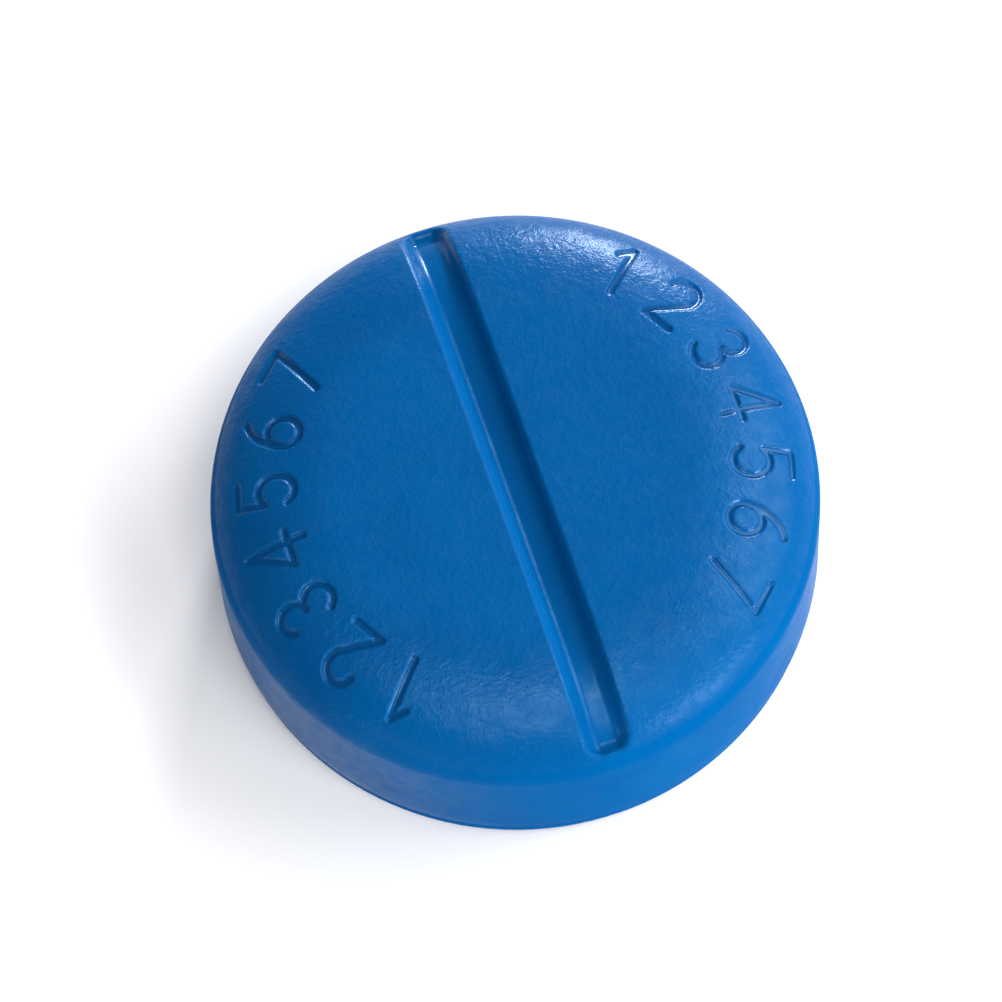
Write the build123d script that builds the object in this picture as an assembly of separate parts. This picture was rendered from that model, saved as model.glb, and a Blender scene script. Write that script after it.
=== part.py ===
"""Round pill box in the form of a scored tablet, with a twist grinder in its middle.

Millimetres. The origin is the centre of the foot ring's underside, +Z points up, and the score
line of the lid runs along Y. The lid lifts off with the tray cover hanging on its hub, and turns
on that cover to drive the upper grinding plate.
"""
import os
from math import asin, cos, degrees, radians, sin, tan

from build123d import *

# Outside form of the lid
BODY_RADIUS = 38.0        # the upright wall
WIDEST_HEIGHT = 19.3      # top of the upright wall, above the ground
SHOULDER_RISE = 9.1       # from there to the edge of the crown
CROWN_RADIUS = 22.0
CROWN_RISE = 0.4
LID_WALL = 1.8
LID_EDGE_ROUND = 0.5

# Score line across the lid
GROOVE_WIDTH = 5.6
GROOVE_END_SETBACK = 1.2  # from the upright wall to the ends of the score
GROOVE_DEPTH = 2.3
GROOVE_CORNER = 1.6
GROOVE_FLOOR_ROUND = 0.4
GROOVE_FLOOR_WALL = 1.0
GROOVE_SIDE_WALL = 1.6

# Base
FOOT_STANDOFF = 0.4       # the foot ring carries the base this far off the ground
FOOT_SETBACK = 7.0        # from the upright wall to the foot ring
FOOT_WIDTH = 4.0
FOOT_SEAT_DEPTH = 0.8
BASE_FLOOR = 2.0
FLANGE_HEIGHT = 3.1
FLANGE_SETBACK = 0.3
FLANGE_BOTTOM_ROUND = 2.0
FLANGE_TOP_ROUND = 0.3
PARTING_GAP = 0.4
SPIGOT_HEIGHT = 8.6       # above the base floor
SPIGOT_WALL = 1.8
SKIRT_GAP = 0.6           # between the spigot and the lid's skirt
SEAL_SEAT_DEPTH = 0.8
SEAL_PROUD = 0.35
SEAL_HEIGHT = 2.4
SEAL_ABOVE_FLOOR = 3.6
SEAL_ROUND = 0.5

# Pill tray
COMPARTMENTS = 7
TRAY_GAP = 0.2
TRAY_WALL = 1.2
TRAY_FLOOR = 1.4
TRAY_TOP_ABOVE_WIDEST = 0.1
KEY_WIDTH = 3.0
KEY_DEPTH = 0.7
KEY_CLEARANCE = 0.2

# Grinding cup and its plates
CUP_RADIUS = 13.0
CUP_WALL = 1.6
CUP_FLOOR = 1.6
CUP_GAP = 0.4             # between the cup and the tray
PEG_RADIUS = 1.5
PEG_SETBACK = 4.0         # from the cup wall to the middle of the pegs
PEG_LENGTH = 1.2
PEG_CLEARANCE = 0.1
PEGS = 3
PLATE_THICKNESS = 1.6
PLATE_GAP = 0.2           # between the lower plate and the cup wall
UPPER_PLATE_SETBACK = 0.25  # between the rims of the collar and of the upper plate
CHAMBER_HEIGHT = 6.8      # between the faces of the two plates
TOOTH_TIP_GAP = 0.9       # between the tips of the teeth and the other plate's face
TOOTH_ROOT_RADIUS = 0.75
TOOTH_TIP_RADIUS = 0.3
TOOTH_SETBACK = 3.3       # from the cup wall to the outermost ring of teeth
FIRST_UPPER_RING = 3.4
UPPER_TEETH = (3, 6)      # teeth in the rings of the upper plate, from the middle out
LOWER_TEETH = (5, 8)      # the same for the lower plate

# Tray cover and what rides on it
COVER_THICKNESS = 1.4
LIFT_GAP = 0.2            # between pieces that part when the lid lifts
COLLAR_GAP = 0.95         # between the collar and the cup wall
COLLAR_WALL = 1.3
HUB_CLEARANCE = 0.1
LUGS = 3
LUG_WIDTH = 6.0
LUG_DEPTH = 3.0
LUG_CLEARANCE = 0.25
GLIDE_SETBACK = 2.75      # from the hub's wall to the glide ring
GLIDE_WIDTH = 3.8
GLIDE_THICKNESS = 1.2
GLIDE_SEAT_DEPTH = 0.3
ORING_RADIUS = 0.6
ORING_SEAT_DEPTH = 0.5

# Drive hub
HUB_WALL = 2.2
HUB_WEB = 1.6
HUB_FLANGE_MARGIN = 0.4   # of the flange outside the glide ring
HUB_FLANGE = 1.6
HUB_BOSS_RADIUS = 2.4
HUB_BOSS_HEIGHT = 3.6
LID_BOSS_RADIUS = 3.0

# Screws
SCREW_CLEARANCE = 0.05
CUP_SCREW_RADIUS = 1.5
CUP_SCREW_HEAD_RADIUS = 3.0
PLATE_SCREW_RADIUS = 1.1
PLATE_SCREW_HEAD_RADIUS = 1.9
PLATE_SCREW_CAP = 0.8     # of the boss left above the screw
PLATE_SCREWS = 3
PLATE_SCREW_ANGLE = 30    # turns them to stand between the teeth
HUB_SCREW_RADIUS = 1.25
HUB_SCREW_HEAD_RADIUS = 2.4
HUB_SCREW_ANGLES = (30, 150, 210, 330)
RECESS_WIDTH = 0.5
RECESS_SHARE = 0.6        # of the head's radius that the cross recess reaches
RECESS_DEPTH = 0.7

# Handle length, as a share of the span, with which a Bezier follows a quarter of an ellipse
QUARTER_HANDLE = 0.5523

STANDING = (Align.CENTER, Align.CENTER, Align.MIN)
MARGIN = 1.0              # how far a cutting body runs past what it cuts

# Heights that follow from the sizes above, from the ground up
base_bottom = FOOT_STANDOFF
floor_top = base_bottom + BASE_FLOOR
flange_top = base_bottom + FLANGE_HEIGHT
lid_bottom = flange_top + PARTING_GAP
cup_floor_top = floor_top + CUP_FLOOR
lower_face = cup_floor_top + PLATE_THICKNESS
upper_face = lower_face + CHAMBER_HEIGHT
hub_bottom = upper_face + PLATE_THICKNESS
tray_top = WIDEST_HEIGHT + TRAY_TOP_ABOVE_WIDEST
cover_bottom = tray_top + LIFT_GAP
cover_top = cover_bottom + COVER_THICKNESS
glide_top = cover_top - GLIDE_SEAT_DEPTH + GLIDE_THICKNESS
flange_bottom = glide_top + LIFT_GAP
crown_height = WIDEST_HEIGHT + SHOULDER_RISE
crown_underside = crown_height - LID_WALL

# Radii that follow, from the wall inwards
skirt_radius = BODY_RADIUS - LID_WALL
spigot_radius = skirt_radius - SKIRT_GAP
spigot_bore = spigot_radius - SPIGOT_WALL
tray_radius = spigot_bore - TRAY_GAP
cup_outer_radius = CUP_RADIUS + CUP_WALL
tray_bore = cup_outer_radius + CUP_GAP
groove_half_length = BODY_RADIUS - GROOVE_END_SETBACK
foot_outer_radius = BODY_RADIUS - FOOT_SETBACK
foot_inner_radius = foot_outer_radius - FOOT_WIDTH
peg_circle_radius = CUP_RADIUS - PEG_SETBACK
collar_radius = CUP_RADIUS - COLLAR_GAP
collar_bore = collar_radius - COLLAR_WALL
hub_radius = collar_bore - HUB_CLEARANCE
upper_plate_radius = collar_radius - UPPER_PLATE_SETBACK
glide_inner_radius = hub_radius + GLIDE_SETBACK
glide_outer_radius = glide_inner_radius + GLIDE_WIDTH
hub_flange_radius = glide_outer_radius + HUB_FLANGE_MARGIN
hub_screw_circle_radius = (hub_radius + hub_flange_radius) / 2

# The teeth, and the screws between them
tooth_height = CHAMBER_HEIGHT - TOOTH_TIP_GAP
ring_gaps = len(UPPER_TEETH) + len(LOWER_TEETH) - 1
tooth_pitch = (CUP_RADIUS - TOOTH_SETBACK - FIRST_UPPER_RING) / ring_gaps
plate_screw_circle = FIRST_UPPER_RING + tooth_pitch
plate_screw_length = PLATE_THICKNESS + HUB_WEB + HUB_BOSS_HEIGHT - PLATE_SCREW_CAP


def ring(inner, outer, bottom, top):
    """Upright tube between two radii and two heights; a disc where the inner radius is 0."""
    height = top - bottom
    tube = Cylinder(outer, height, align=STANDING)
    if inner > 0:
        tube -= Cylinder(inner, height, align=STANDING)
    return Pos(0, 0, bottom) * tube


def around(count, radius=0, first=0):
    """Places spread evenly on a circle, each turned to face outwards along its own X."""
    return [Rot(0, 0, first + i * 360 / count) * Pos(radius, 0, 0) for i in range(count)]


def block(inner, outer, width, bottom, top):
    """Box along X from one radius to another, centred on the X axis."""
    box = Box(outer - inner, width, top - bottom, align=(Align.MIN, Align.CENTER, Align.MIN))
    return Pos(inner, 0, bottom) * box


def edges_at(solid, height, radius):
    """The round edges of a solid at one height and one radius."""
    return [
        edge
        for edge in solid.edges().filter_by(GeomType.CIRCLE)
        if abs(edge.center().Z - height) < 1e-4 and abs(edge.radius - radius) < 1e-4
    ]


def dome(inset, bottom):
    """Solid within the lid's outer surface moved inwards by inset, down to a height."""
    radius = BODY_RADIUS - inset
    top = crown_height - inset + CROWN_RISE
    crown_sphere = (CROWN_RADIUS**2 + CROWN_RISE**2) / (2 * CROWN_RISE)
    spread = asin(CROWN_RADIUS / crown_sphere)
    crown = CenterArc((0, top - crown_sphere), crown_sphere, 90 - degrees(spread), degrees(spread))
    rise = QUARTER_HANDLE * (crown_height - inset - WIDEST_HEIGHT)
    reach = QUARTER_HANDLE * (radius - CROWN_RADIUS)
    shoulder = Bezier(
        (radius, WIDEST_HEIGHT),
        (radius, WIDEST_HEIGHT + rise),
        crown @ 0 + Vector(reach, -reach * tan(spread)),
        crown @ 0,
    )
    outline = Curve() + [
        Line((0, bottom), (radius, bottom)),
        Line((radius, bottom), (radius, WIDEST_HEIGHT)),
        shoulder,
        crown,
        Line(crown @ 1, (0, bottom)),
    ]
    return revolve(Plane.XZ * make_face(outline), Axis.Z)


def groove_strip(grow, corner):
    """Upright bar over the score line, wider and longer than it by grow on each side."""
    outline = RectangleRounded(
        GROOVE_WIDTH + 2 * grow, 2 * (groove_half_length + grow), corner
    )
    height = SHOULDER_RISE + CROWN_RISE + MARGIN
    return extrude(Pos(0, 0, WIDEST_HEIGHT) * outline, height)


def screw(radius, head_radius, length):
    """Countersunk screw with its flat head face at the origin and its shank up along Z."""
    head_height = head_radius - radius
    shank = Cylinder(radius, length, align=STANDING)
    head = Cone(head_radius, radius, head_height, align=STANDING)
    arm = Box(2 * RECESS_SHARE * head_radius, RECESS_WIDTH, RECESS_DEPTH, align=STANDING)
    return shank + head - arm - Rot(0, 0, 90) * arm


def screw_hole(radius, head_radius, length):
    """The space that such a screw takes up, with its clearance, open below the head."""
    wide = head_radius + SCREW_CLEARANCE
    narrow = radius + SCREW_CLEARANCE
    shank = Cylinder(narrow, length + SCREW_CLEARANCE, align=STANDING)
    head = Cone(wide, narrow, wide - narrow, align=STANDING)
    mouth = Pos(0, 0, -MARGIN) * Cylinder(wide, MARGIN, align=STANDING)
    return shank + head + mouth


def teeth(counts, first_ring, root_height, pointing):
    """Rings of tapered teeth that stand on a face, pointing up (1) or down (-1)."""
    tooth = Cone(TOOTH_ROOT_RADIUS, TOOTH_TIP_RADIUS, tooth_height, align=STANDING)
    if pointing < 0:
        tooth = Rot(180, 0, 0) * tooth
    group = Part()
    for index, count in enumerate(counts):
        circle = around(count, first_ring + 2 * index * tooth_pitch)
        group += [Pos(0, 0, root_height) * place * tooth for place in circle]
    return group


# ---------------------------------------------------------------- pieces of the base

def base_shell():
    """Floor and rim flange, with the spigot that guides the lid's skirt."""
    rim_radius = BODY_RADIUS - FLANGE_SETBACK
    flange = ring(0, rim_radius, base_bottom, flange_top)
    flange = fillet(edges_at(flange, base_bottom, rim_radius), FLANGE_BOTTOM_ROUND)
    flange = fillet(edges_at(flange, flange_top, rim_radius), FLANGE_TOP_ROUND)
    spigot_top = floor_top + SPIGOT_HEIGHT
    shell = flange + ring(0, spigot_radius, base_bottom, spigot_top)
    shell -= ring(0, spigot_bore, floor_top, spigot_top)
    seal_bottom = floor_top + SEAL_ABOVE_FLOOR
    shell -= ring(
        spigot_radius - SEAL_SEAT_DEPTH, spigot_radius, seal_bottom, seal_bottom + SEAL_HEIGHT
    )
    shell -= ring(
        foot_inner_radius, foot_outer_radius, base_bottom, base_bottom + FOOT_SEAT_DEPTH
    )
    shell += block(spigot_bore - KEY_DEPTH, spigot_bore, KEY_WIDTH, floor_top, spigot_top)
    peg_hole = ring(0, PEG_RADIUS + PEG_CLEARANCE, floor_top - PEG_LENGTH, floor_top)
    shell -= [place * peg_hole for place in around(PEGS, peg_circle_radius)]
    return shell - cup_screw_hole()


def foot_ring():
    """Soft ring under the floor, which the box stands on."""
    return ring(foot_inner_radius, foot_outer_radius, 0, base_bottom + FOOT_SEAT_DEPTH)


def lid_seal():
    """Soft ring in the spigot's seat, which the lid's skirt slides over."""
    bottom = floor_top + SEAL_ABOVE_FLOOR
    outer = spigot_radius + SEAL_PROUD
    seal = ring(spigot_radius - SEAL_SEAT_DEPTH, outer, bottom, bottom + SEAL_HEIGHT)
    rims = edges_at(seal, bottom, outer) + edges_at(seal, bottom + SEAL_HEIGHT, outer)
    return fillet(rims, SEAL_ROUND)


def cup_screw_length():
    return lower_face - base_bottom - SCREW_CLEARANCE


def cup_screw_hole():
    hole = screw_hole(CUP_SCREW_RADIUS, CUP_SCREW_HEAD_RADIUS, cup_screw_length())
    return Pos(0, 0, base_bottom) * hole


def cup_screw():
    """Screw from under the floor, through the cup, into the lower plate."""
    body = screw(CUP_SCREW_RADIUS, CUP_SCREW_HEAD_RADIUS, cup_screw_length())
    return Pos(0, 0, base_bottom) * body


def grinding_cup():
    """Cup in the middle of the base, held against turning by pegs."""
    cup = ring(0, cup_outer_radius, floor_top, tray_top)
    cup -= ring(0, CUP_RADIUS, cup_floor_top, tray_top)
    peg = ring(0, PEG_RADIUS, floor_top - PEG_LENGTH, floor_top)
    cup += [place * peg for place in around(PEGS, peg_circle_radius)]
    return cup - cup_screw_hole()


def lower_grinding_plate():
    """Steel plate on the cup's floor, with teeth that stand up between the upper ones."""
    plate = ring(0, CUP_RADIUS - PLATE_GAP, cup_floor_top, lower_face)
    first_ring = FIRST_UPPER_RING + tooth_pitch
    return plate + teeth(LOWER_TEETH, first_ring, lower_face, 1) - cup_screw_hole()


def pill_tray():
    """Ring of wedge compartments around the cup."""
    bore = tray_bore + TRAY_WALL
    rim = tray_radius - TRAY_WALL
    tray = ring(tray_bore, tray_radius, floor_top, tray_top)
    tray -= ring(bore, rim, floor_top + TRAY_FLOOR, tray_top)
    wall = block(bore - TRAY_WALL / 2, rim + TRAY_WALL / 2, TRAY_WALL, floor_top, tray_top)
    tray += [place * wall for place in around(COMPARTMENTS)]
    key_way = block(
        tray_radius - KEY_DEPTH + TRAY_GAP - KEY_CLEARANCE,
        tray_radius + MARGIN,
        KEY_WIDTH + 2 * KEY_CLEARANCE,
        floor_top,
        floor_top + SPIGOT_HEIGHT + KEY_CLEARANCE,
    )
    lug_way = block(
        rim - MARGIN,
        tray_radius + MARGIN,
        LUG_WIDTH + 2 * LUG_CLEARANCE,
        tray_top - LUG_DEPTH - LUG_CLEARANCE,
        tray_top + MARGIN,
    )
    tray -= key_way
    return tray - [place * lug_way for place in lug_places()]


def lug_places():
    """The cover's lugs stand in the middle of compartments, clear of the dividing walls."""
    step = 360 / COMPARTMENTS
    chosen = [round(i * COMPARTMENTS / LUGS) for i in range(LUGS)]
    return [Rot(0, 0, (index + 0.5) * step) for index in chosen]


# ---------------------------------------------------------------- pieces of the cover

def tray_cover():
    """Disc that closes the compartments, with a collar around the hub and lugs in the tray."""
    cover = ring(collar_bore, tray_radius, cover_bottom, cover_top)
    cover += ring(collar_bore, collar_radius, hub_bottom + LIFT_GAP, cover_bottom)
    lug = block(
        tray_radius - TRAY_WALL,
        tray_radius,
        LUG_WIDTH,
        tray_top - LUG_DEPTH,
        cover_top,
    )
    lug &= ring(0, tray_radius, tray_top - LUG_DEPTH, cover_top)
    cover += [place * lug for place in lug_places()]
    cover -= ring(
        glide_inner_radius, glide_outer_radius, cover_top - GLIDE_SEAT_DEPTH, cover_top
    )
    return cover - oring()


def glide_ring():
    """Slippery ring on the cover, which the hub's flange turns on."""
    bottom = cover_top - GLIDE_SEAT_DEPTH
    return ring(glide_inner_radius, glide_outer_radius, bottom, glide_top)


def oring():
    """Round ring let into the outside of the collar."""
    centre_radius = collar_radius - ORING_SEAT_DEPTH + ORING_RADIUS
    middle = (hub_bottom + LIFT_GAP + cover_bottom) / 2
    return Pos(0, 0, middle) * Torus(centre_radius, ORING_RADIUS)


# ---------------------------------------------------------------- pieces of the lid

def hub_screw_places():
    return [
        Pos(
            hub_screw_circle_radius * cos(radians(angle)),
            hub_screw_circle_radius * sin(radians(angle)),
            flange_bottom,
        )
        for angle in HUB_SCREW_ANGLES
    ]


def hub_screw_length():
    return crown_underside - flange_bottom


def lid_shell():
    """Domed cap with the score line, a rib behind the score and bosses for the hub."""
    shell = dome(0, lid_bottom)
    shell = fillet(edges_at(shell, lid_bottom, BODY_RADIUS), LID_EDGE_ROUND)
    rib = groove_strip(GROOVE_SIDE_WALL, GROOVE_CORNER + GROOVE_SIDE_WALL)
    below_floor = Pos(0, 0, -GROOVE_DEPTH - GROOVE_FLOOR_WALL) * dome(0, lid_bottom)
    rib -= below_floor
    boss = ring(0, LID_BOSS_RADIUS, HUB_FLANGE, crown_height - flange_bottom)
    bosses = Part() + [place * boss for place in hub_screw_places()]
    cavity = dome(LID_WALL, lid_bottom) - rib - bosses
    groove = groove_strip(0, GROOVE_CORNER) - Pos(0, 0, -GROOVE_DEPTH) * dome(0, lid_bottom)
    groove = fillet(groove_floor_edges(groove), GROOVE_FLOOR_ROUND)
    hole = screw_hole(HUB_SCREW_RADIUS, HUB_SCREW_HEAD_RADIUS, hub_screw_length())
    return shell - cavity - groove - [place * hole for place in hub_screw_places()]


def groove_floor_edges(groove):
    """The edges where the upright sides of the score meet its floor."""
    strip_top = WIDEST_HEIGHT + SHOULDER_RISE + CROWN_RISE + MARGIN
    sides = groove.faces().filter_by(GeomType.PLANE) + groove.faces().filter_by(GeomType.CYLINDER)
    return [
        edge
        for side in sides
        for edge in side.edges()
        if max(vertex.Z for vertex in edge.vertices()) < strip_top - MARGIN / 2
    ]


def drive_hub():
    """Flanged tube that carries the upper plate and bears on the glide ring."""
    flange_top_height = flange_bottom + HUB_FLANGE
    hub = ring(0, hub_radius, hub_bottom, flange_bottom)
    hub += ring(0, hub_flange_radius, flange_bottom, flange_top_height)
    hub -= ring(0, hub_radius - HUB_WALL, hub_bottom + HUB_WEB, flange_top_height)
    boss_top = hub_bottom + HUB_WEB + HUB_BOSS_HEIGHT
    boss = ring(0, HUB_BOSS_RADIUS, hub_bottom, boss_top)
    hub += [place * boss for place in around(PLATE_SCREWS, plate_screw_circle, PLATE_SCREW_ANGLE)]
    hub -= plate_screw_holes()
    hole = screw_hole(HUB_SCREW_RADIUS, HUB_SCREW_HEAD_RADIUS, hub_screw_length())
    return hub - [place * hole for place in hub_screw_places()]


def plate_screw_places():
    circle = around(PLATE_SCREWS, plate_screw_circle, PLATE_SCREW_ANGLE)
    return [Pos(0, 0, upper_face) * place for place in circle]


def plate_screw_holes():
    hole = screw_hole(PLATE_SCREW_RADIUS, PLATE_SCREW_HEAD_RADIUS, plate_screw_length)
    return [place * hole for place in plate_screw_places()]


def upper_grinding_plate():
    """Steel plate under the hub, wider than the collar's bore, so it holds the cover on."""
    plate = ring(0, upper_plate_radius, upper_face, hub_bottom)
    return plate + teeth(UPPER_TEETH, FIRST_UPPER_RING, upper_face, -1) - plate_screw_holes()


def plate_screws():
    """Screws that hold the upper plate to the hub."""
    body = screw(PLATE_SCREW_RADIUS, PLATE_SCREW_HEAD_RADIUS, plate_screw_length)
    return Part() + [place * body for place in plate_screw_places()]


def hub_screws():
    """Screws that hold the hub to the lid."""
    body = screw(HUB_SCREW_RADIUS, HUB_SCREW_HEAD_RADIUS, hub_screw_length())
    return Part() + [place * body for place in hub_screw_places()]


PIECES = {
    "base_shell": base_shell,
    "foot_ring": foot_ring,
    "lid_seal": lid_seal,
    "grinding_cup": grinding_cup,
    "lower_grinding_plate": lower_grinding_plate,
    "cup_screw": cup_screw,
    "pill_tray": pill_tray,
    "tray_cover": tray_cover,
    "glide_ring": glide_ring,
    "collar_seal": oring,
    "lid_shell": lid_shell,
    "drive_hub": drive_hub,
    "upper_grinding_plate": upper_grinding_plate,
    "plate_screws": plate_screws,
    "hub_screws": hub_screws,
}

os.makedirs("parts", exist_ok=True)
for name, make in PIECES.items():
    export_step(make(), f"parts/{name}.step")
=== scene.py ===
"""Looks of the tablet-shaped pill box: the scored lid as a fine mesh, materials, light and camera.

The form's lengths are millimetres in the shared frame, and MM turns them to metres. The places
and sizes of the lights, the floor and the camera are metres.
"""
from math import cos, pi, radians, sin

import bpy
import numpy as np
from mathutils import Matrix, Vector


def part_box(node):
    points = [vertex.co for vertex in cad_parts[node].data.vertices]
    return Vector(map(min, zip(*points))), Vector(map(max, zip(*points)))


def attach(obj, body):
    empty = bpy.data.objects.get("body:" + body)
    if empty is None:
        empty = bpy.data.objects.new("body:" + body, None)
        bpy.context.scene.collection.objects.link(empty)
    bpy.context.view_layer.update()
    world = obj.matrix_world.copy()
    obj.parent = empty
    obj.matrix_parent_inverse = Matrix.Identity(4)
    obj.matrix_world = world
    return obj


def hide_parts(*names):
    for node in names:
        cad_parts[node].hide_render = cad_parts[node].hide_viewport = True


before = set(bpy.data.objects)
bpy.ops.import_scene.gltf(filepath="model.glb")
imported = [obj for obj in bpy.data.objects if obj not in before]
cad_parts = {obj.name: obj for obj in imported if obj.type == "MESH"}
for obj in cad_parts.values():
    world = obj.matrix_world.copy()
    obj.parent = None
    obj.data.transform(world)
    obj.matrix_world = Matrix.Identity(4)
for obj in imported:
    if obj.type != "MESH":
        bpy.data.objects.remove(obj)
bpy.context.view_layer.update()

MM = 0.001

# Form of the lid
lid_low, lid_high = (np.array(corner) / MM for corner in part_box("lid_shell"))
RADIUS = min(*lid_high[:2], *-lid_low[:2])
BOTTOM = lid_low[2]
SHOULDER_RISE = 9.1
CROWN_RADIUS = 22.0
CROWN_RISE = 0.4
TOP = round(lid_high[2], 1)
WIDEST = TOP - CROWN_RISE - SHOULDER_RISE
WALL = 1.8
EDGE_ROUND = 0.5
QUARTER_HANDLE = 0.5523   # length of a Bezier handle for a quarter of an ellipse

# Rings of points that make the lid: up to which radius, how far apart, how many points around
FINE, MIDDLE, COARSE = 1008, 504, 252
OUTSIDE_SPANS = (
    (8.0, 0.17, COARSE),
    (16.0, 0.34, MIDDLE),
    (26.2, 0.42, FINE),
    (35.4, 0.18, FINE),
    (RADIUS, 0.30, FINE),
)
INSIDE_SPANS = ((CROWN_RADIUS, 0.9, COARSE), (RADIUS - WALL, 0.6, COARSE))
CROWN_STEPS = 40
SHOULDER_STEPS = 600
WALL_ROWS = 8
EDGE_ROWS = 5
INNER_EDGE = 0.2          # first ring inside the skirt, above its bottom

# Score line
SCORE_HALF_WIDTH = 2.8
SCORE_HALF_LENGTH = 36.8
SCORE_CORNER = 1.9
SCORE_DEPTH = 2.05
SCORE_SLOPE = 2.1
SCORE_LIP = 1.0
SCORE_HOLLOW = 2.0
RIB_FLOOR = 1.0           # wall left below the score
RIB_SIDE = 1.6            # and beside it
RIB_BLEND = 0.5

# Bosses that the hub's screws bite into
BOSS_RADIUS = 3.0
BOSS_CIRCLE = 14.125
BOSS_ANGLES = (30, 150, 210, 330)
BOSS_SIDES = 48

# Figures on the shoulder
FIGURE_COUNT = 7
FIGURE_STEP = 15.25
FIGURE_RADIUS = 30.75
FIGURE_HEIGHT = 8.2
STROKE = 0.84
STROKE_RAMP = 0.26
FIGURE_DEPTH = 0.36

# Moulded grain
GRAIN_START = 2.5         # above the widest ring
GRAIN_FADE = 0.3
SATIN_RADIUS = 27.0       # the flat of the crown is duller than the shoulder
SATIN_FADE = 6.0
SATIN_LOSS = 0.5

# Shine: how strongly each part of the lid reflects, as a refractive index
SHINE_GRAIN = 1.36
SHINE_SCORE = 1.30
SHINE_FIGURE = 1.42
SHINE_WALL = 1.02
PAINTED_GLARE_SHINE = 1.11       # painted reflection: the wall reflects more on this side, which puts in a glare
# the middle and spread of that painted glare
PAINTED_GLARE_MIDDLE = -141.0    # its middle, in degrees from +X
PAINTED_GLARE_SPREAD = 24.0


# Tones; where there are two, the surface varies between them
BLUE = (0.0, 0.072, 0.240), (0.0, 0.083, 0.264)
# painted shade: the sunk figures' floors are coloured darker than the rest of the lid
FIGURE_SHADE_BLUE = (0.0, 0.03, 0.12)
BLUE_REFLECTION = (0.4, 0.7, 1.0, 1)
RUBBER = (0.05, 0.055, 0.06), (0.065, 0.07, 0.076)
ACETAL = (0.50, 0.52, 0.53), (0.56, 0.57, 0.58)
IVORY = (0.50, 0.47, 0.38), (0.55, 0.52, 0.43)
MILKY = (0.34, 0.46, 0.54), (0.39, 0.51, 0.58)
FROSTED = (0.34, 0.50, 0.62), (0.40, 0.56, 0.67)
PLATE_STEEL = (0.62, 0.63, 0.64)
SCREW_STEEL = (0.5, 0.5, 0.51)
FLOOR = (0.93, 0.93, 0.935), (0.95, 0.95, 0.95)

# Blue plastic
GLOW = 0.12               # share of the light that passes below the surface
GLOW_REACH = (0.1, 0.5, 1.0)
GLOW_DEPTH = 1.2
TONE_LUMPS = 14
SMEAR_LUMPS = 5
SMEAR_ROUGHNESS = 0.18, 0.26
SHINE_LUMPS = 2.2
SHINE_SPREAD = 0.75, 1.25  # of the part of the refractive index above 1
# how much of that painted shade the figure floors take
FIGURE_SHADE_SHARE = 0.3
GRAIN_ROUGHNESS = 0.08    # that the grain adds
SATIN_ROUGHNESS = 2.5     # how many times as much again on the satin middle
COARSE_GRAIN, FINE_GRAIN = 0.95, 0.42
COARSE_SHARE = 0.7

# Other materials
MOULDED_LUMPS = 9
MOULDED_SMEAR = 3
MOULDED_UNEVEN = 0.05, 0.06  # of the roughness, down and up
STEEL_RINGS = 0.12
STEEL_UNEVEN = 0.06, 0.08
STEEL_DARK = 0.85
FLOOR_LUMPS = 60
FLOOR_ROUGHNESS = 0.8

# Depths of the surface marks
GRAIN_DEPTH = 0.045
SMOOTH_DEPTH = 0.004
RUBBER_DEPTH = 0.01

# Ranges that most values of a noise lie in; narrower ones give more contrast
NOISE_CORE = 0.3, 0.7
SHINE_CORE = 0.36, 0.64
COARSE_CORE = 0.42, 0.68
FINE_CORE = 0.40, 0.70

# Sockets for colours on a Mix node
MIX_FIRST, MIX_SECOND, MIX_RESULT = 6, 7, 2

# Studio
FLOOR_HALF = 2.0
WORLD_COLOUR = (0.95, 0.97, 1.0, 1)
WORLD_STRENGTH = 0.15
LIGHT_TARGET = (0, 0, 0.015)
LIGHTS = (  # name, place, width and height, watts, colour
    ("overhead", (-0.1, -0.45, 1.0), (0.6, 0.6), 6.8, (1, 1, 1)),
    ("window_right", (0.8, 0.0, 0.72), (1.0, 0.7), 10.5, (1, 1, 1)),
    ("window_back", (0.50, 0.84, 0.20), (0.22, 0.13), 10.5, (0.97, 0.96, 1.0)),
    ("front_right", (0.53, -0.82, 0.22), (0.5, 0.2), 10.0, (1, 1, 1)),
    ("strip_left", (-0.7, -0.7, 0.14), (0.6, 0.1), 1.5, (0.95, 0.93, 1.0)),
)

# Camera
CAMERA_AZIMUTH = -14.8
CAMERA_ELEVATION = 68.56
CAMERA_ROLL = -4.15
CAMERA_DISTANCE = 0.846
CAMERA_LENS = 244.1
CAMERA_PAN = 1.75 * MM    # how far the view's middle lies left of the object's axis
CAMERA_DROP = 0.31 * MM   # and how far below it


# ---------------------------------------------------------------- figures

def arc(cx, cy, rx, ry, start, end, steps=12):
    """Points along part of an ellipse, in degrees, counted anticlockwise from the right."""
    angles = np.radians(np.linspace(start, end, steps))
    return [(cx + rx * cos(a), cy + ry * sin(a)) for a in angles]


# Centre lines of the figures 1 to 7, in a box one unit high around its own middle
FIGURES = [
    [[(-0.13, 0.27), (0.05, 0.445), (0.05, -0.445)]],
    [arc(0.0, 0.2, 0.23, 0.245, 170, -38) + [(-0.25, -0.445), (0.26, -0.445)]],
    [
        arc(0.0, 0.23, 0.21, 0.215, 155, -90),
        arc(0.0, -0.215, 0.24, 0.23, 90, -155),
    ],
    [[(0.11, -0.445), (0.11, 0.445), (-0.27, -0.19), (0.27, -0.19)]],
    [[(0.21, 0.445), (-0.17, 0.445), (-0.2, 0.03)] + arc(0.0, -0.16, 0.25, 0.285, 140, -145)],
    [
        arc(0.0, -0.19, 0.235, 0.255, 0, 360, 20),
        arc(0.25, -0.19, 0.485, 0.635, 180, 106),
    ],
    [[(-0.25, 0.445), (0.25, 0.445), (-0.09, -0.445)]],
]


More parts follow.
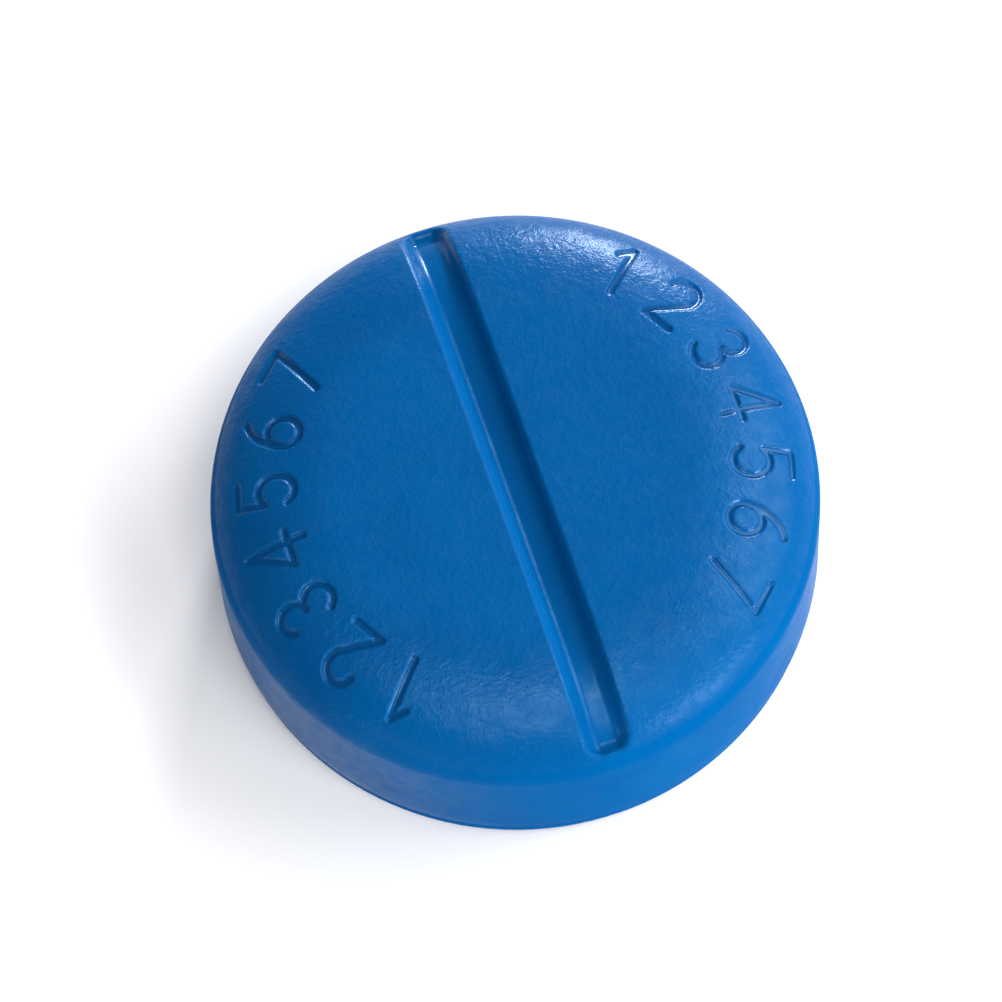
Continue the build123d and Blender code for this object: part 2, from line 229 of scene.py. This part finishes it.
def distance_to_path(u, v, path):
    """Distance of each point (u, v) from a run of straight pieces."""
    nearest = np.full(u.shape, np.inf)
    for (ax, ay), (bx, by) in zip(path, path[1:]):
        dx, dy = bx - ax, by - ay
        along = np.clip(((u - ax) * dx + (v - ay) * dy) / (dx * dx + dy * dy), 0, 1)
        nearest = np.minimum(nearest, np.hypot(u - ax - along * dx, v - ay - along * dy))
    return nearest


def smooth_step(value):
    value = np.clip(value, 0, 1)
    return value * value * (3 - 2 * value)


def figure_depth(x, y):
    """How far the figures are sunk below the surface at each point, and 1 on their floors."""
    nearest = np.full(x.shape, np.inf)
    for half in (0, 180):
        for index, strokes in enumerate(FIGURES):
            angle = radians(half + FIGURE_STEP * ((FIGURE_COUNT - 1) / 2 - index))
            out = x * cos(angle) + y * sin(angle)
            across = x * sin(angle) - y * cos(angle)
            near = np.abs(across) < FIGURE_HEIGHT / 2
            near &= np.abs(out - FIGURE_RADIUS) < FIGURE_HEIGHT
            u = across[near] / FIGURE_HEIGHT
            v = (out[near] - FIGURE_RADIUS) / FIGURE_HEIGHT
            for path in strokes:
                apart = distance_to_path(u, v, path) * FIGURE_HEIGHT
                nearest[near] = np.minimum(nearest[near], apart)
    sunk = smooth_step((STROKE / 2 + STROKE_RAMP / 2 - nearest) / STROKE_RAMP)
    return FIGURE_DEPTH * sunk, sunk


# ---------------------------------------------------------------- lid surface

def soft_min(a, b, blend):
    """The lesser of a and b, with the corner between them rounded over blend."""
    close = np.clip(blend - np.abs(a - b), 0, None) / blend
    return np.minimum(a, b) - close * close * blend / 4


def inside_score(x, y, grow=0.0):
    """Distance inwards from the outline of the score; negative outside it."""
    corner = SCORE_CORNER + grow
    qx = np.abs(x) - (SCORE_HALF_WIDTH + grow - corner)
    qy = np.abs(y) - (SCORE_HALF_LENGTH + grow - corner)
    outside = np.hypot(np.clip(qx, 0, None), np.clip(qy, 0, None))
    return corner - outside - np.minimum(np.maximum(qx, qy), 0)


def score_depth(x, y):
    """A trough with a rounded lip, steep sides and a hollow floor."""
    ramp = SCORE_SLOPE * inside_score(x, y)
    rounded = -soft_min(-ramp, np.zeros_like(ramp), SCORE_LIP)
    return soft_min(rounded, np.full_like(ramp, SCORE_DEPTH), SCORE_HOLLOW)


def dome_profile(inset):
    """Fine run of (radius, height) from the middle of the crown to the widest ring."""
    radius = RADIUS - inset
    edge = WIDEST + SHOULDER_RISE - inset
    sphere = (CROWN_RADIUS**2 + CROWN_RISE**2) / (2 * CROWN_RISE)
    crown_r = np.linspace(0, CROWN_RADIUS, CROWN_STEPS)
    crown_z = edge + CROWN_RISE - sphere + np.sqrt(sphere**2 - crown_r**2)
    slope = CROWN_RADIUS / np.sqrt(sphere**2 - CROWN_RADIUS**2)
    reach = QUARTER_HANDLE * (radius - CROWN_RADIUS)
    handles = np.array([
        (CROWN_RADIUS, edge),
        (CROWN_RADIUS + reach, edge - slope * reach),
        (radius, WIDEST + QUARTER_HANDLE * (edge - WIDEST)),
        (radius, WIDEST),
    ])
    t = np.linspace(0, 1, SHOULDER_STEPS)[1:, None]
    weights = np.hstack([(1 - t) ** 3, 3 * t * (1 - t) ** 2, 3 * t * t * (1 - t), t**3])
    return np.vstack([np.column_stack([crown_r, crown_z]), weights @ handles])


def along_profile(profile, spans):
    """Rings on a profile: points around, radius, height, and the way that the surface faces."""
    run = np.concatenate([[0], np.cumsum(np.hypot(*np.diff(profile, axis=0).T))])
    tangent = np.gradient(profile, run, axis=0)
    rings = []
    start = 0.0
    for end_radius, step, count in spans:
        end = run[-1] if end_radius >= profile[-1, 0] else np.interp(end_radius, profile[:, 0], run)
        pieces = max(1, round((end - start) / step))
        for place in np.linspace(start, end, pieces + 1)[1:]:
            r, z, tr, tz = (np.interp(place, run, c) for c in (*profile.T, *tangent.T))
            length = np.hypot(tr, tz)
            rings.append((count, r, z, -tz / length, tr / length))
        start = end
    return rings


def circle(count):
    """Angles all round, in radians."""
    return np.arange(count) * 2 * pi / count


def join_rings(rings):
    """Faces between neighbouring rings of a tube, given (first index, count) of each ring."""
    faces = []
    for (a, na), (b, nb) in zip(rings, rings[1:]):
        if na == nb:
            i = np.arange(na)
            j = (i + 1) % na
            faces += np.column_stack([a + i, b + i, b + j, a + j]).tolist()
        elif nb == 2 * na:
            for i in range(na):
                j = (i + 1) % na
                faces += [
                    (a + i, b + 2 * i, b + 2 * i + 1),
                    (a + i, b + 2 * i + 1, a + j),
                    (a + j, b + 2 * i + 1, b + 2 * j),
                ]
        else:
            for i in range(nb):
                j = (i + 1) % nb
                faces += [
                    (b + i, a + 2 * i + 1, a + 2 * i),
                    (b + i, b + j, a + 2 * i + 1),
                    (b + j, a + 2 * j, a + 2 * i + 1),
                ]
    return faces


def wall_shine(angles):
    """Shine of the side wall at each angle, in radians, raised on one side as a painted reflection.
    """
    away = (np.degrees(angles) - PAINTED_GLARE_MIDDLE + 180) % 360 - 180
    return SHINE_WALL + (PAINTED_GLARE_SHINE - SHINE_WALL) * np.exp(-((away / PAINTED_GLARE_SPREAD) ** 2))


class Surface:
    """Rings of points, and what each point carries into the material."""

    def __init__(self):
        self.places, self.rings = [], []
        self.marks = {"grain": [], "shine": [], "figure": [], "satin": []}

    def size(self):
        return sum(len(points) for points in self.places)

    def add(self, points, grain, shine, figure=0.0, satin=0.0):
        """Adds one ring; a mark is one value, or one for each point."""
        self.rings.append((self.size(), len(points)))
        self.places.append(points)
        for values, mark in zip(self.marks.values(), (grain, shine, figure, satin)):
            values.append(np.broadcast_to(mark, len(points)))

    def add_upright(self, radius, height, count):
        """Adds a level ring of the side wall."""
        a = circle(count)
        ring = np.column_stack([radius * np.cos(a), radius * np.sin(a), np.full(count, height)])
        self.add(ring, 0.0, wall_shine(a))


def add_top(surface):
    """Crown and shoulder, with the score and the figures sunk into them."""
    centre_depth = score_depth(np.zeros(1), np.zeros(1))[0]
    surface.add(np.array([[0, 0, TOP - centre_depth]]), 0.0, SHINE_SCORE)
    for count, r, z, normal_r, normal_z in along_profile(dome_profile(0), OUTSIDE_SPANS):
        a = circle(count)
        x, y = r * np.cos(a), r * np.sin(a)
        score = score_depth(x, y)
        sunk, floor = figure_depth(x, y)
        flat = r - sunk * normal_r
        height = z - score - sunk * normal_z
        ring = np.column_stack([flat * np.cos(a), flat * np.sin(a), height])
        above = np.clip((z - WIDEST - GRAIN_START) / GRAIN_FADE, 0, 1)
        plain = 1 - smooth_step(score / SCORE_LIP)
        dull = smooth_step((SATIN_RADIUS - r) / SATIN_FADE)
        facing_up = normal_z**2 * (1 - SATIN_LOSS * dull)
        grain_shine = SHINE_WALL + (SHINE_GRAIN - SHINE_WALL) * facing_up
        top_shine = SHINE_SCORE + (grain_shine - SHINE_SCORE) * plain
        top_shine += (SHINE_FIGURE - top_shine) * floor
        shine = wall_shine(a) + above * (top_shine - wall_shine(a))
        surface.add(ring, above * plain * (1 - floor), shine, floor, dull)


def add_wall(surface):
    """Side wall, down round its bottom edge and up inside the skirt."""
    for height in np.linspace(WIDEST, BOTTOM + EDGE_ROUND, WALL_ROWS + 1)[1:]:
        surface.add_upright(RADIUS, height, FINE)
    for turn in np.radians(np.linspace(0, 90, EDGE_ROWS + 1)[1:]):
        inner = RADIUS - EDGE_ROUND + EDGE_ROUND * cos(turn)
        surface.add_upright(inner, BOTTOM + EDGE_ROUND - EDGE_ROUND * sin(turn), FINE)
    surface.add_upright(RADIUS - WALL, BOTTOM, MIDDLE)
    surface.add_upright(RADIUS - WALL, BOTTOM + INNER_EDGE, COARSE)
    surface.add_upright(RADIUS - WALL, WIDEST, COARSE)


def add_ceiling(surface):
    """Inside of the dome, with the rib that the score leaves below itself."""
    inside = along_profile(dome_profile(WALL), INSIDE_SPANS)
    for count, r, z, *_ in reversed(inside[:-1]):
        a = circle(count)
        x, y = r * np.cos(a), r * np.sin(a)
        behind = np.interp(r, *dome_profile(0).T) - SCORE_DEPTH - RIB_FLOOR
        ribbed = smooth_step(inside_score(x, y, RIB_SIDE) / RIB_BLEND)
        height = z + (np.minimum(behind, z) - z) * ribbed
        surface.add(np.column_stack([x, y, height]), 0.0, SHINE_GRAIN)
    surface.add(np.array([[0, 0, TOP - SCORE_DEPTH - RIB_FLOOR]]), 0.0, SHINE_GRAIN)


def post(distance, angle, bottom, top):
    """Points and faces of one upright boss."""
    a = circle(BOSS_SIDES)
    x = distance * cos(angle) + BOSS_RADIUS * np.cos(a)
    y = distance * sin(angle) + BOSS_RADIUS * np.sin(a)
    points = np.vstack([np.column_stack([x, y, np.full(BOSS_SIDES, z)]) for z in (bottom, top)])
    n = BOSS_SIDES
    faces = [(i, (i + 1) % n, n + (i + 1) % n, n + i) for i in range(n)]
    faces += [tuple(reversed(range(n))), tuple(range(n, 2 * n))]
    return points, faces


def lid_mesh():
    """Points, faces, and the marks that each point carries."""
    surface = Surface()
    add_top(surface)
    add_wall(surface)
    add_ceiling(surface)
    _, *tube, (tip, _) = surface.rings
    (first, around_first), (last, around_last) = tube[0], tube[-1]
    faces = [(0, first + i, first + (i + 1) % around_first) for i in range(around_first)]
    faces += join_rings(tube)
    faces += [(tip, last + (i + 1) % around_last, last + i) for i in range(around_last)]
    hub_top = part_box("drive_hub")[1][2] / MM
    inside_top = TOP - CROWN_RISE - WALL / 2
    for angle in BOSS_ANGLES:
        start = surface.size()
        points, boss_faces = post(BOSS_CIRCLE, radians(angle), hub_top, inside_top)
        faces += [tuple(start + i for i in face) for face in boss_faces]
        surface.add(points, 0.0, SHINE_GRAIN)
    marks = {name: np.concatenate(values) for name, values in surface.marks.items()}
    return np.vstack(surface.places) * MM, faces, marks


def new_object(name, points, faces, smooth=True):
    """Puts a new mesh in the scene."""
    mesh = bpy.data.meshes.new(name)
    mesh.from_pydata([tuple(p) for p in points], [], faces)
    mesh.update()
    mesh.validate()
    if smooth:
        mesh.polygons.foreach_set("use_smooth", [True] * len(mesh.polygons))
    piece = bpy.data.objects.new(name, mesh)
    bpy.context.scene.collection.objects.link(piece)
    return piece


def make_lid():
    points, faces, marks = lid_mesh()
    lid = new_object("scored_lid", points, faces)
    for name, values in marks.items():
        attribute = lid.data.attributes.new(name, "FLOAT", "POINT")
        attribute.data.foreach_set("value", values.astype(np.float32))
    return lid


# ---------------------------------------------------------------- materials

class Nodes:
    """Small helper that adds nodes to one material and joins them."""

    def __init__(self, name):
        self.material = bpy.data.materials.new(name)
        self.material.use_nodes = True
        self.tree = self.material.node_tree
        self.shader = self.tree.nodes["Principled BSDF"]
        self.place = self.add("ShaderNodeTexCoord").outputs["Object"]

    def add(self, kind, **settings):
        node = self.tree.nodes.new(kind)
        for key, value in settings.items():
            if hasattr(node, key):
                setattr(node, key, value)
            else:
                node.inputs[key].default_value = value
        return node

    def join(self, source, target):
        self.tree.links.new(source, target)

    def noise(self, size_mm, detail=2.0, roughness=0.5):
        """Noise whose lumps are about size_mm across."""
        node = self.add("ShaderNodeTexNoise")
        node.inputs["Scale"].default_value = 1 / (size_mm * MM)
        node.inputs["Detail"].default_value = detail
        node.inputs["Roughness"].default_value = roughness
        self.join(self.place, node.inputs["Vector"])
        return node.outputs["Fac"]

    def spread(self, source, low, high, start=0.0, end=1.0):
        """Maps start..end of a value to low..high."""
        node = self.add("ShaderNodeMapRange")
        ends = {"From Min": start, "From Max": end, "To Min": low, "To Max": high}
        for key, value in ends.items():
            node.inputs[key].default_value = value
        self.join(source, node.inputs["Value"])
        return node.outputs["Result"]

    def mottle(self, size_mm, detail, low=0.0, high=1.0):
        """Soft patches about size_mm across, between low and high."""
        return self.spread(self.noise(size_mm, detail), low, high, *NOISE_CORE)

    def carried(self, mark):
        """What the mesh's points carry under this name."""
        return self.add("ShaderNodeAttribute", attribute_name=mark).outputs["Fac"]

    def math(self, operation, a, b):
        """Result of an operation on two values, each a number or an output."""
        node = self.add("ShaderNodeMath", operation=operation)
        for socket, value in zip(node.inputs, (a, b)):
            if isinstance(value, (int, float)):
                socket.default_value = value
            else:
                self.join(value, socket)
        return node.outputs[0]

    def mix(self, factor, low, high):
        """Colour between low and high."""
        node = self.add("ShaderNodeMix", data_type="RGBA")
        self.join(factor, node.inputs["Factor"])
        for index, colour in ((MIX_FIRST, low), (MIX_SECOND, high)):
            socket = node.inputs[index]
            if isinstance(colour, tuple):
                socket.default_value = (*colour, 1)
            else:
                self.join(colour, socket)
        return node.outputs[MIX_RESULT]

    def bump(self, height, depth_mm):
        """Bump of a height from 0 to 1 that stands for depth_mm."""
        node = self.add("ShaderNodeBump")
        node.inputs["Distance"].default_value = depth_mm * MM
        self.join(height, node.inputs["Height"])
        self.join(node.outputs["Normal"], self.shader.inputs["Normal"])


def blue_plastic(name, grained):
    """Moulded blue plastic; if grained, with the lid's grain, shine, and figures whose floors carry
    painted shade.
    """
    n = Nodes(name)
    tone = n.mix(n.mottle(TONE_LUMPS, 2), *BLUE)
    n.shader.inputs["Subsurface Weight"].default_value = GLOW
    n.shader.inputs["Subsurface Radius"].default_value = GLOW_REACH
    n.shader.inputs["Subsurface Scale"].default_value = GLOW_DEPTH * MM
    n.shader.inputs["Specular Tint"].default_value = BLUE_REFLECTION
    smear = n.mottle(SMEAR_LUMPS, 3, *SMEAR_ROUGHNESS)
    if not grained:
        n.join(tone, n.shader.inputs["Base Color"])
        n.shader.inputs["IOR"].default_value = SHINE_WALL
        n.join(smear, n.shader.inputs["Roughness"])
        n.bump(n.noise(2.5, 2), SMOOTH_DEPTH)
        return n.material
    grain = n.carried("grain")
    uneven = n.spread(n.noise(SHINE_LUMPS, 4, 0.65), *SHINE_SPREAD, *SHINE_CORE)
    excess = n.math("MULTIPLY", n.math("SUBTRACT", n.carried("shine"), 1), uneven)
    n.join(n.math("ADD", excess, 1), n.shader.inputs["IOR"])
    # Painted shade: the figures are coloured darker towards their floors
    figure_shade = n.math("MULTIPLY", n.carried("figure"), FIGURE_SHADE_SHARE)
    n.join(n.mix(figure_shade, tone, FIGURE_SHADE_BLUE), n.shader.inputs["Base Color"])
    # Grain roughens the surface, most of all on the satin middle of the crown
    duller = n.math("ADD", n.math("MULTIPLY", n.carried("satin"), SATIN_ROUGHNESS), 1)
    rough = n.math("MULTIPLY", grain, n.math("MULTIPLY", duller, GRAIN_ROUGHNESS))
    n.join(n.math("ADD", smear, rough), n.shader.inputs["Roughness"])
    coarse = n.spread(n.noise(COARSE_GRAIN, 3, 0.6), 0, 1, *COARSE_CORE)
    fine = n.spread(n.noise(FINE_GRAIN, 2), 0, 1, *FINE_CORE)
    shares = n.math("MULTIPLY", coarse, COARSE_SHARE), n.math("MULTIPLY", fine, 1 - COARSE_SHARE)
    both = n.math("ADD", *shares)
    n.bump(n.math("MULTIPLY", both, grain), GRAIN_DEPTH)
    return n.material


def moulded(name, tones, rough, grain_mm=0.6, depth_mm=SMOOTH_DEPTH, clearness=0.0):
    """Moulded plastic or rubber between two tones."""
    n = Nodes(name)
    n.join(n.mix(n.mottle(MOULDED_LUMPS, 3), *tones), n.shader.inputs["Base Color"])
    down, up = MOULDED_UNEVEN
    n.join(n.mottle(MOULDED_SMEAR, 3, rough - down, rough + up), n.shader.inputs["Roughness"])
    n.bump(n.noise(grain_mm, 2), depth_mm)
    n.shader.inputs["Transmission Weight"].default_value = clearness
    return n.material


def brushed_steel(name, tone, rough):
    """Steel with fine turning marks around the middle."""
    n = Nodes(name)
    split = n.add("ShaderNodeSeparateXYZ")
    n.join(n.place, split.inputs[0])
    squares = [
        n.math("POWER", n.math("ABSOLUTE", split.outputs[axis], 0), 2) for axis in ("X", "Y")
    ]
    distance = n.math("POWER", n.math("ADD", *squares), 0.5)
    rings = n.add("ShaderNodeTexNoise", noise_dimensions="1D")
    rings.inputs["Scale"].default_value = 1 / (STEEL_RINGS * MM)
    rings.inputs["Detail"].default_value = 3
    n.join(distance, rings.inputs["W"])
    marks = rings.outputs["Fac"]
    dark = tuple(STEEL_DARK * t for t in tone)
    n.join(n.mix(marks, dark, tone), n.shader.inputs["Base Color"])
    n.shader.inputs["Metallic"].default_value = 1
    down, up = STEEL_UNEVEN
    rough_marks = n.spread(marks, rough - down, rough + up, *NOISE_CORE)
    n.join(rough_marks, n.shader.inputs["Roughness"])
    n.bump(marks, SMOOTH_DEPTH)
    return n.material


def give(material, *nodes):
    """Sets the material of whole pieces."""
    for node in nodes:
        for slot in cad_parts[node].material_slots:
            slot.material = material


# ---------------------------------------------------------------- object

lid = make_lid()
lid.data.materials.append(blue_plastic("blue_grained", True))
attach(lid, "lid")
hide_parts("lid_shell")

give(blue_plastic("blue_smooth", False), "base_shell")
give(moulded("soft_rubber", RUBBER, rough=0.62, grain_mm=0.3, depth_mm=RUBBER_DEPTH),
     "foot_ring", "lid_seal", "collar_seal")
give(moulded("white_acetal", ACETAL, rough=0.3), "grinding_cup", "drive_hub")
give(moulded("ivory_glide", IVORY, rough=0.4), "glide_ring")
give(moulded("milky_tray", MILKY, rough=0.25), "pill_tray")
give(moulded("frosted_cover", FROSTED, rough=0.35, clearness=0.35), "tray_cover")
give(brushed_steel("stainless", PLATE_STEEL, rough=0.28),
     "lower_grinding_plate", "upper_grinding_plate")
give(brushed_steel("screw_steel", SCREW_STEEL, rough=0.3),
     "cup_screw", "plate_screws", "hub_screws")


# ---------------------------------------------------------------- studio

def make_floor():
    half = FLOOR_HALF
    corners = [(-half, -half, 0), (half, -half, 0), (half, half, 0), (-half, half, 0)]
    floor = new_object("floor", corners, [(0, 1, 2, 3)], smooth=False)
    n = Nodes("pale_floor")
    n.join(n.mix(n.noise(FLOOR_LUMPS, 3), *FLOOR), n.shader.inputs["Base Color"])
    n.shader.inputs["Roughness"].default_value = FLOOR_ROUGHNESS
    floor.data.materials.append(n.material)


def area_light(name, place, size, power, colour):
    data = bpy.data.lights.new(name, "AREA")
    data.shape = "RECTANGLE"
    data.size, data.size_y = size
    data.energy = power
    data.color = colour
    light = bpy.data.objects.new(name, data)
    light.location = place
    ahead = Vector(LIGHT_TARGET) - Vector(place)
    light.rotation_euler = ahead.to_track_quat("-Z", "Y").to_euler()
    bpy.context.scene.collection.objects.link(light)


def make_lights():
    for light in LIGHTS:
        area_light(*light)
    world = bpy.data.worlds.new("studio")
    world.use_nodes = True
    background = world.node_tree.nodes["Background"]
    background.inputs["Color"].default_value = WORLD_COLOUR
    background.inputs["Strength"].default_value = WORLD_STRENGTH
    bpy.context.scene.world = world


def make_camera():
    azimuth, elevation = radians(CAMERA_AZIMUTH), radians(CAMERA_ELEVATION)
    back = Vector((
        sin(azimuth) * cos(elevation), -cos(azimuth) * cos(elevation), sin(elevation)
    ))
    right = Vector((cos(azimuth), sin(azimuth), 0))
    up = back.cross(right)
    upright = Matrix((right, up, back)).transposed().to_4x4()
    turn = upright @ Matrix.Rotation(radians(CAMERA_ROLL), 4, "Z")
    across, upward, _ = turn.to_3x3().col
    target = Vector((0, 0, WIDEST * MM)) - CAMERA_PAN * across - CAMERA_DROP * upward
    camera_data = bpy.data.cameras.new("camera")
    camera_data.lens = CAMERA_LENS
    camera = bpy.data.objects.new("camera", camera_data)
    camera.matrix_world = Matrix.Translation(target + CAMERA_DISTANCE * back) @ turn
    bpy.context.scene.collection.objects.link(camera)
    bpy.context.scene.camera = camera


make_floor()
make_lights()
make_camera()
bpy.context.scene.view_settings.view_transform = "Standard"
